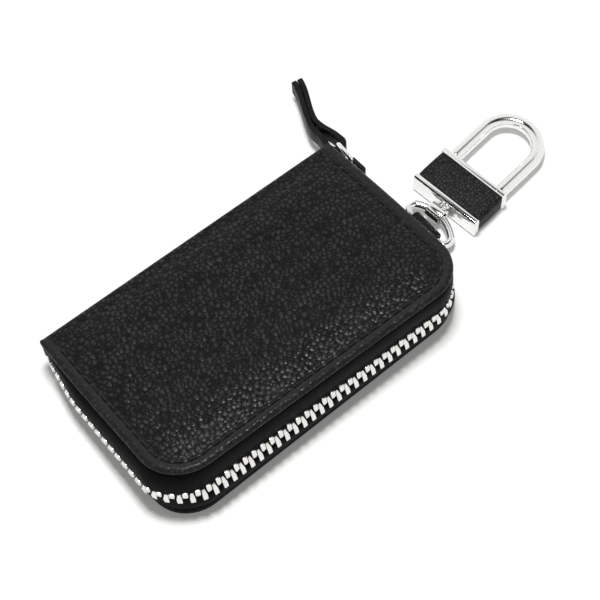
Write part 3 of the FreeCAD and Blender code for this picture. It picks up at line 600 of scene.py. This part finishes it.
def zip_tape(name, front):
    """Sewn flange, gusset wall and strip of one tape, as one cloth with two faces."""
    end_y = WIDTH / 2 - SPINE_ROOM
    profile = [(g, f, z, STRIP_FOOT) for g, f, z in TAPE_OUTER]
    profile += [(g, 1.0, STRIP_LEVEL, w) for g, w in TAPE_EDGE]
    profile += [(g, f, z, STRIP_FOOT) for g, f, z in TAPE_INNER]
    columns = []
    for g, f, z, w in profile:
        column = []
        for p, out in u_path(g, end_y, 30, 16, 34):
            low = Vector((p.x, p.y, z))
            tip = p + out * zip_lean(w if not front else -w, p)
            q = low.lerp(zip_point(tip.x, tip.y, w), f)
            column.append(mirrored(q) if front else q)
        columns.append(column)
    rings = [[settle(v) for v in ring] for ring in zip(*columns)]
    return make(name, *sweep(rings))


for name, front, body in (("upper_zip_tape", True, "front_half"), ("lower_zip_tape", False, "back_half")):
    tape = finish_piece(zip_tape(name + "_cloth", front), tape_cloth, body, "tape", name)


# Zip teeth and stops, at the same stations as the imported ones

ZIP = [p for p, out in u_path(ZIP_OUT, WIDTH / 2 - SPINE_ROOM, 1, 48, 1)]
ZIP_LENGTH = path_length(ZIP)
PITCH = 3.1
STOP_LENGTH, STOP_GAP, TOOTH_ROOM = 1.6, 0.4, 0.8
SLIDER_LENGTH, SLIDER_RUN = 10, 12
SLIDER_STATION = STOP_LENGTH + STOP_GAP + SLIDER_LENGTH / 2
CHAIN_START = STOP_LENGTH + STOP_GAP + SLIDER_LENGTH + STOP_GAP + TOOTH_ROOM
CHAIN_END = ZIP_LENGTH - STOP_LENGTH - STOP_GAP - TOOTH_ROOM
RUN_END = STOP_LENGTH + STOP_GAP + SLIDER_LENGTH + SLIDER_RUN + STOP_GAP


def station(d):
    """Point, direction along and direction outward on the zip's path."""
    a, b, rest = segment_at(ZIP, d)
    along = (b - a).normalized()
    return a + along * rest, along, Vector((-along.y, along.x, 0))


HALF_SLOT = 0.45


def clipped_block(half_root, half_tip, depth, leg, head, slot_floor, neck, recess, round_by):
    """A metal block clipped over the tape's edge, on axes along, outward and up, with rounded edges.

    Its legs stand on both sides of the tape. Below the neck it narrows and its faces fall back to the tip."""
    o, s = depth / 2, HALF_SLOT
    tip = o - recess
    section = [(-o, leg), (-s, leg), (-s, slot_floor), (s, slot_floor), (s, leg), (o, leg), (o, neck),
               (tip, -head), (-tip, -head), (-o, neck)]
    bm = bmesh.new()
    sides = []
    for sign in (-1, 1):
        sides.append([bm.verts.new((sign * (half_tip if up == -head else half_root), out, up))
                      for out, up in section])
    for k in range(len(section)):
        n = (k + 1) % len(section)
        bm.faces.new((sides[0][k], sides[0][n], sides[1][n], sides[1][k]))
    for ring in sides:
        for corners in ((0, 1, 2, 9), (2, 3, 6, 9), (3, 4, 5, 6), (6, 7, 8, 9)):
            bm.faces.new([ring[k] for k in corners])
    bmesh.ops.recalc_face_normals(bm, faces=bm.faces)
    edges = [e for e in bm.edges
             if e.calc_face_angle() > EDGE_ANGLE and max(abs(v.co.y) for v in e.verts) > s + 0.1]
    bmesh.ops.bevel(bm, geom=edges, offset=round_by, segments=3, profile=0.5, affect="EDGES", clamp_overlap=True)
    bm.verts.index_update()
    verts = [v.co.copy() for v in bm.verts]
    faces = [tuple(v.index for v in f.verts) for f in bm.faces]
    bm.free()
    return verts, faces


def place_blocks(name, pattern, stations, row):
    """Copies of a block at stations of the zip, those of the lower row upside down."""
    verts, faces = [], []
    for d in stations:
        place, along, out = station(d)
        more = []
        for v in pattern[0]:
            q = place + along * v.x + out * (v.y + zip_lean(row * v.z, place))
            more.append(settle(zip_point(q.x, q.y, row * v.z)))
        add_mesh(verts, faces, (more, pattern[1]))
    obj = make(name, verts, faces)
    obj.data.set_sharp_from_angle(angle=BLOCK_CREASE)
    return obj


TOOTH = clipped_block(half_root=0.7, half_tip=0.4, depth=2.2, leg=2.3, head=1.0, slot_floor=0.95, neck=0.45,
                      recess=0.85, round_by=0.22)
STOP = clipped_block(half_root=0.8, half_tip=0.76, depth=2.2, leg=2.3, head=-0.45, slot_floor=0.95, neck=0.7,
                     recess=0.1, round_by=0.22)
for row, half, body in ((1, "upper", "front_half"), (-1, "lower", "back_half")):
    first = CHAIN_START + (PITCH / 2 if row < 0 else 0)
    stations = [first + i * PITCH for i in range(int((CHAIN_END - first) / PITCH) + 1)]
    for kind, chosen in (("teeth", [s for s in stations if s >= RUN_END]),
                         ("end_teeth", [s for s in stations if s < RUN_END])):
        node = half + "_" + kind
        finish_piece(place_blocks(node + "_metal", TOOTH, chosen, row), zip_metal, body, "zip_metal", node)
    ends = [STOP_LENGTH / 2, ZIP_LENGTH - STOP_LENGTH / 2]
    stops = place_blocks(half + "_stops_metal", STOP, ends, row)
    finish_piece(stops, zip_metal, body, "zip_metal", half + "_stops")

finish_piece(rounded_copy("slider_body", 0.22), lacquer, "slider", "slider_black", "slider_body")


# Pull: wire link and folded leather strap, on axes along the pull, across it and up

PULL_TURN = math.radians(180 - 5)
STRAP_TURN = math.radians(-7.5)
BAIL_THICKNESS, HALF_BAIL, BAIL_SHIFT = 1.1, 3.4, 1.2
WING_FACE, BAIL_MIDDLE = 2.75, 0.95
LINK_RADIUS, LINK_CORNER, LINK_REACH, LINK_HALF_WIDTH = 0.7, 1.4, 7.5, 3.8
FREE_CLEARANCE = 0.3
LINK_SEAT = Vector((BAIL_THICKNESS + LINK_RADIUS + FREE_CLEARANCE - HALF_BAIL - BAIL_SHIFT,
                    WING_FACE + BAIL_MIDDLE, 0))


def on_pull(p):
    """Set a point on the pull's axes onto the slider."""
    x = LINK_SEAT.x + p.x * math.cos(PULL_TURN) - p.y * math.sin(PULL_TURN)
    y = LINK_SEAT.y + p.x * math.sin(PULL_TURN) + p.y * math.cos(PULL_TURN)
    place, along, out = station(SLIDER_STATION)
    q = place + along * x + out * y
    return zip_point(q.x, q.y, p.z)


def rounded_loop(points, radius, steps):
    """A closed polygon with round corners."""
    path = []
    for i, c in enumerate(points):
        u = (points[i - 1] - c).normalized()
        v = (points[(i + 1) % len(points)] - c).normalized()
        half = u.angle(v) / 2
        centre = c + (u + v).normalized() * (radius / math.sin(half))
        a = c + u * (radius / math.tan(half)) - centre
        b = c + v * (radius / math.tan(half)) - centre
        path += [centre + a.slerp(b, k / steps) for k in range(steps + 1)]
    return path


corners = [Vector((x, 0, z)) for x, z in ((0, LINK_HALF_WIDTH), (0, -LINK_HALF_WIDTH),
                                          (LINK_REACH, -LINK_HALF_WIDTH), (LINK_REACH, LINK_HALF_WIDTH))]
rings = tube_rings(rounded_loop(corners, LINK_CORNER, 8), LINK_RADIUS, Y, 18, closed=True)
link = make("pull_link_wire", *sweep([[on_pull(p) for p in ring] for ring in rings], closed_path=True))
finish_piece(link, chrome, "link", "chrome", "pull_link")


def strap_path(radius, reach, tip, half, spread):
    """Middle line of a strip folded round a bar: out along one layer, round the bar and back.

    The layers lie half apart on each side of the middle from the reach on, and spread towards the tip."""
    steps, neck_steps, dip = 10, 8, 0.55
    distance = math.hypot(reach, half)
    angle = math.degrees(math.atan2(half, reach) + math.acos(radius / distance))
    points = []
    for i in range(steps + 1):
        x = tip + (reach - tip) * i / steps
        points.append(Vector((x, half + spread * ease(reach + 6, tip, x), 0)))
    start = Vector((radius * math.cos(math.radians(angle)), radius * math.sin(math.radians(angle)), 0))
    for i in range(1, neck_steps):
        s = i / neck_steps
        p = points[steps].lerp(start, s)
        p.y -= dip * math.sin(math.pi * s) * (1 - 0.4 * s)
        points.append(p)
    points += arc(Vector((0, 0, 0)), X, Y, radius, angle, 180, 12)
    return points + [Vector((p.x, -p.y, p.z)) for p in reversed(points[:-1])]


PULL_WIDTH, PULL_LAYER = 5.4, 1.68
PULL_LOOP, PULL_LEATHER = 2.8, 1.2
PULL_SEAT = PULL_LOOP - PULL_LEATHER - LINK_RADIUS - FREE_CLEARANCE
pull_path = strap_path(radius=2.3, reach=8.4, tip=26.2, half=0.86, spread=0.12)
verts, faces = sweep(band_rings(pull_path, path_normals(pull_path, UP), UP, PULL_WIDTH, PULL_LAYER))
sway = []
for v in verts:
    # The pull bends one way near the link and back towards its tip, and its outer layer bulges at the loop
    bend = 2.3 * ease(3, 11, v.x) - 3.0 * ease(9.5, 26, v.x)
    if v.y > 0:
        bend += 1.3 * ease(-1, 4, v.x) * ease(12, 6, v.x)
    x, y = v.x + PULL_SEAT, v.y + bend
    sway.append(on_pull(Vector((LINK_REACH + x * math.cos(STRAP_TURN) - y * math.sin(STRAP_TURN),
                                x * math.sin(STRAP_TURN) + y * math.cos(STRAP_TURN), v.z))))
finish_piece(make("pull_strap_leather", sway, faces), strap_leather, "pull", "strap_leather", "pull_strap")


# Tab, ring and hook at the +X end

RING_Y, RING_Z, RING_WIRE = -1.7, 3.7, 2.2
RING_ARC, RING_CORNER, RING_REACH = 13.0, 2.2, 6.3
BAR_OUT = 6.96
edge_x = SPINE_HALF + (WIDTH / 2 - RING_Y) * SIDE_SLOPE
bar_x = edge_x + BAR_OUT
ring_centre = Vector((bar_x + RING_REACH - RING_ARC, RING_Y, RING_Z))


def ring_path():
    """Middle line of the ring's wire: a wide arc, two tight corners and a straight bar."""
    inner = RING_ARC - RING_CORNER
    cx = RING_CORNER + bar_x - ring_centre.x
    cy = math.sqrt(inner * inner - cx * cx)
    turn = math.degrees(math.atan2(cy, cx))
    near = arc(ring_centre + Vector((cx, cy, 0)), X, Y, RING_CORNER, 180, turn, 12)
    front = arc(ring_centre, X, Y, RING_ARC, turn, -turn, 40)
    far = arc(ring_centre + Vector((cx, -cy, 0)), X, Y, RING_CORNER, -turn, -180, 12)
    bar = line(far[-1], near[0], 8)
    return near + front[1:] + far[1:] + bar[1:-1]


ring = make("d_ring_wire", *sweep(tube_rings(ring_path(), RING_WIRE / 2, UP, 20, closed=True), closed_path=True))
finish_piece(ring, chrome, "ring", "chrome", "d_ring")


def tab_piece():
    """A strip from inside the seam, out under the chain and round the ring's bar."""
    clearance, half_leather, seam_level = 0.15, 0.55, 2.0
    width, layer = 10.0, 1.0
    radius = RING_WIRE / 2 + clearance + half_leather
    centre = Vector((bar_x, 0, RING_Z))
    start = Vector((edge_x - 5.2, 0, seam_level))
    lip = Vector((edge_x + 1.2, 0, seam_level))
    turn = arc(centre, X, UP, radius, 232, 490, 26)
    lower = [start, start.lerp(lip, 0.5), lip,
             lip.lerp(turn[0], 0.35) - UP * 0.12, lip.lerp(turn[0], 0.7) - UP * 0.08]
    back = Vector((edge_x + 1.6, 0, 2.9))
    upper = [turn[-1].lerp(back, 0.4) - UP * 0.15, turn[-1].lerp(back, 0.75) - UP * 0.05, back]
    points = lower + turn + upper
    side = Vector((0, -1, 0))
    rings = band_rings(points, path_normals(points, side), side, width, layer)
    return make("hook_tab_leather", *sweep([[p + Y * RING_Y for p in ring] for ring in rings]))


finish_piece(tab_piece(), strap_leather, "back_half", "strap_leather", "hook_tab")

YAW = math.radians(7.69)
EYE = ring_centre + Vector((math.cos(YAW), math.sin(YAW), 0)) * RING_ARC


def on_hook(p):
    """Set a point on the hook's axes, which start in the eye, into the part's frame."""
    x = p.x * math.cos(YAW) - p.y * math.sin(YAW)
    y = p.x * math.sin(YAW) + p.y * math.cos(YAW)
    return EYE + Vector((x, y, p.z))


def wrap_sleeve():
    """Leather round the block, slightly proud in the middle, with a glued butt seam underneath."""
    start, end, steps = 5.2, 15.5, 14
    half_width, half_height, corner, spacing = 11.85, 3.45, 1.5, 1.2
    swell_by, sunk_ends, crown_by = 0.22, 0.06, 0.16
    seam_depth, seam_width = 0.25, 0.35
    rings = []
    for i in range(steps + 1):
        s = i / steps
        swell = swell_by * math.sin(math.pi * s) ** 0.5 - sunk_ends
        half_y, half_z = half_width + swell * 0.5, half_height + swell * 0.5
        outline = rounded_rectangle(half_y, half_z, corner, 6)
        full = []
        for (y0, z0), (y1, z1) in zip(outline, outline[1:] + outline[:1]):
            gap = math.hypot(y1 - y0, z1 - z0)
            parts = max(int(gap / spacing), 1)
            full += [(y0 + (y1 - y0) * k / parts, z0 + (z1 - z0) * k / parts) for k in range(parts)]
        ring = []
        for y, z in full:
            seam = seam_depth * math.exp(-(y / seam_width) ** 2) if z < -3 else 0.0
            crown = crown_by * math.sin(math.pi * s) * (1 - (y / half_y) ** 2) if abs(z) > 3.2 else 0.0
            ring.append(on_hook(Vector((start + (end - start) * s, y, z + math.copysign(crown, z) + seam))))
        rings.append(ring)
    return make("block_leather_sleeve", *sweep(rings, caps=False))


finish_piece(wrap_sleeve(), block_leather, "hook", "strap_leather", "leather_wrap")


SHACKLE_HALF = 8.9


def shackle_bow():
    """Round rod bent to a U, one end on the top plate and the other with its stem in the block."""
    straight, bend, half, radius = 19, 32.15, SHACKLE_HALF, 2.1
    # The rod's rounded ends and its stem: distance out from the eye, and radius
    stem_end = [(17.56, 1.5), (17.6, 1.85), (17.75, 2.05), (18.1, radius)]
    free_end = [(18.4, radius), (18.05, 2.02), (17.88, 1.85), (17.82, 1.5)]
    stem = [(5.6, 0.6), (5.7, 0.8), (9, 0.8), (13, 0.8), (17.7, 0.8)]
    bow = line(Vector((straight, -half, 0)), Vector((bend, -half, 0)), 8)
    bow += arc(Vector((bend, 0, 0)), X, Y, half, -90, 90, 40)[1:]
    bow += line(Vector((bend, half, 0)), Vector((straight, half, 0)), 8)[1:]
    points = [Vector((x, -half, 0)) for x, r in stem_end] + bow + [Vector((x, half, 0)) for x, r in free_end]
    radii = [r for x, r in stem_end] + [radius] * len(bow) + [r for x, r in free_end]
    verts, faces = sweep(tube_rings(points, radii, UP, 24))
    stem_points = [Vector((x, -half, 0)) for x, r in stem]
    add_mesh(verts, faces, sweep(tube_rings(stem_points, [r for x, r in stem], UP, 16)))
    return make("shackle_rod", [on_hook(v) for v in verts], faces)


def coil_spring():
    """Wire wound round the stem, between the lift washer and the top plate."""
    start, end, turns, steps = 7.28, 15.22, 5, 24
    radius, wire_radius = 1.13, 0.18
    points = []
    for i in range(turns * steps + 1):
        a = 2 * math.pi * i / steps
        points.append(Vector((start + (end - start) * i / (turns * steps), radius * math.cos(a) - SHACKLE_HALF,
                              radius * math.sin(a))))
    verts, faces = sweep(tube_rings(points, wire_radius, X, 8))
    return make("shackle_spring_wire", [on_hook(v) for v in verts], faces)


spring = finish_piece(coil_spring(), steel, None, "steel", "shackle_spring")
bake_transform(spring)

rod = finish_piece(shackle_bow(), chrome, "bow", "chrome", "shackle")
rod.data.set_sharp_from_angle(angle=ROUND_CREASE)

finish_piece(rounded_copy("base_plate", 0.18, 3), chrome, "hook", "chrome", "base_plate")
finish_piece(rounded_copy("hook_body", 0.18, 3), chrome, "hook", "chrome", "hook_body")
finish_piece(rounded_copy("swivel_eye", 0.3, 3), chrome, "swivel", "chrome", "swivel_eye")


# Key strap, rivet and key ring inside

def key_strap():
    """A strip along the back lining, round the key ring and back over itself."""
    loop_x, tail_x, level = -16.0, -36.0, 2.9
    bore, leather_mm, width, layer = 2.4, 1.2, 8.0, 1.15
    centre = Vector((loop_x, 0, level + bore + leather_mm))
    radius = bore + leather_mm / 2
    tail = Vector((tail_x, 0, level + leather_mm / 2))
    lower = line(tail, Vector((loop_x, 0, level + leather_mm / 2)), 12)
    turn = arc(centre, X, UP, radius, -90, 128, 24)[1:]
    shoulder = Vector((loop_x - 7.4, 0, level + leather_mm * 1.5))
    bridge = [turn[-1].lerp(shoulder, s) - UP * 0.35 * math.sin(math.pi * s) for s in (0.25, 0.5, 0.75)]
    upper = line(shoulder, Vector((tail_x, 0, level + leather_mm * 1.5)), 8)
    points = lower + turn + bridge + upper
    side = Vector((0, -1, 0))
    return make("key_strap_leather", *sweep(band_rings(points, path_normals(points, side), side, width, layer)))


finish_piece(key_strap(), strap_leather, "back_half", "strap_leather", "key_strap")


def domed_rivet():
    """A rivet with a domed, slightly flattened cap over a straight shank."""
    x, seat, shank, sides = -30.0, 5.3, 1.5, 36
    profile = [(shank, 2.5), (shank, 5.0), (shank, seat), (2.7, seat), (2.95, seat + 0.12), (3.0, seat + 0.3),
               (2.9, seat + 0.5), (2.5, seat + 0.74), (1.9, seat + 0.93), (1.1, seat + 1.06), (0.3, seat + 1.1)]
    angles = [2 * math.pi * k / sides for k in range(sides)]
    rings = [[Vector((x + r * math.cos(a), r * math.sin(a), z)) for a in angles] for r, z in profile]
    return make("rivet_cap", *sweep(rings))


rivet = finish_piece(domed_rivet(), chrome, "back_half", "steel", "strap_rivet")
rivet.data.set_sharp_from_angle(angle=ROUND_CREASE)
finish_piece(rounded_copy("key_ring", 0.3, 3), chrome, "keys", "steel", "key_ring")

# Nodes that are shown as imported, with a material of their own
for node, material in (("back_board", board), ("front_board", board), ("shackle_collar", steel),
                       ("lift_washer", steel)):
    mesh = nodes[node].data
    for i in range(len(mesh.materials)):
        mesh.materials[i] = material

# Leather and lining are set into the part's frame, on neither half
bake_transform(shell)
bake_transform(lining)


# Floor, light and camera

FLOOR_HALF, FLOOR_LEVEL = 3, -0.0002


def floor_material():
    """A matt, nearly white floor."""
    material = bpy.data.materials.new("pale_floor")
    material.use_nodes = True
    tree = material.node_tree
    bsdf = tree.nodes["Principled BSDF"]
    bsdf.inputs["Base Color"].default_value = (0.9, 0.9, 0.89, 1)
    bsdf.inputs["Roughness"].default_value = 0.7
    bsdf.inputs["Specular IOR Level"].default_value = 0.2
    # What the camera sees of the floor is lifted to white, and shadows stay on it
    path = tree.nodes.new("ShaderNodeLightPath")
    tree.links.new(path.outputs["Is Camera Ray"], bsdf.inputs["Emission Strength"])
    bsdf.inputs["Emission Color"].default_value = (0.12, 0.12, 0.12, 1)
    return material


mesh = bpy.data.meshes.new("floor")
mesh.from_pydata([(x * FLOOR_HALF, y * FLOOR_HALF, FLOOR_LEVEL) for x, y in ((-1, -1), (1, -1), (1, 1), (-1, 1))],
                 [], [(0, 1, 2, 3)])
floor = bpy.data.objects.new("floor", mesh)
mesh.materials.append(floor_material())
bpy.context.scene.collection.objects.link(floor)

world = bpy.data.worlds.new("studio")
bpy.context.scene.world = world
world.use_nodes = True
background = world.node_tree.nodes["Background"]
# A pale room, dark overhead, so that polished metal shows a dark line. Reflections see it at full strength, and
# other light from it, such as the floor's, is less than a third of that
sky = world.node_tree
coord = sky.nodes.new("ShaderNodeTexCoord")
split = sky.nodes.new("ShaderNodeSeparateXYZ")
sky.links.new(coord.outputs["Generated"], split.inputs["Vector"])
room = ramp(sky, split.outputs["Z"],
            [(0.0, (0.98, 0.97, 0.94)), (0.84, (0.88, 0.87, 0.85)), (0.91, (0.03, 0.03, 0.03))])
sky.links.new(room, background.inputs["Color"])
path = sky.nodes.new("ShaderNodeLightPath")
level = sky.nodes.new("ShaderNodeMath")
level.operation = "MULTIPLY_ADD"
sky.links.new(path.outputs["Is Glossy Ray"], level.inputs[0])
level.inputs[1].default_value = 0.69
level.inputs[2].default_value = 0.31
sky.links.new(level.outputs["Value"], background.inputs["Strength"])


def area_light(name, place, aim, size, power):
    """A rectangular lamp, in metres and watts, turned to a point."""
    data = bpy.data.lights.new(name, "AREA")
    data.shape = "RECTANGLE"
    data.size, data.size_y = size
    data.energy = power
    obj = bpy.data.objects.new(name, data)
    obj.location = place
    obj.rotation_euler = (Vector(aim) - Vector(place)).to_track_quat("-Z", "Y").to_euler()
    bpy.context.scene.collection.objects.link(obj)


area_light("key_light", (0.0, 0.06, 1.0), (0, 0, 0), (0.2, 0.2), 8.6)

camera_data = bpy.data.cameras.new("photo_camera")
camera = bpy.data.objects.new("photo_camera", camera_data)
camera_data.angle = math.radians(16.0)
camera_data.clip_start = 0.01
azimuth, elevation, distance = math.radians(-39.07), math.radians(61.37), 0.6063
target = Vector((0.01515, 0.00087, 0.008))
away = Vector((math.sin(azimuth) * math.cos(elevation), -math.cos(azimuth) * math.cos(elevation),
               math.sin(elevation)))
camera.location = target + away * distance
camera.rotation_euler = away.to_track_quat("Z", "Y").to_euler()
bpy.context.scene.collection.objects.link(camera)
bpy.context.scene.camera = camera
bpy.context.scene.view_settings.view_transform = "Standard"
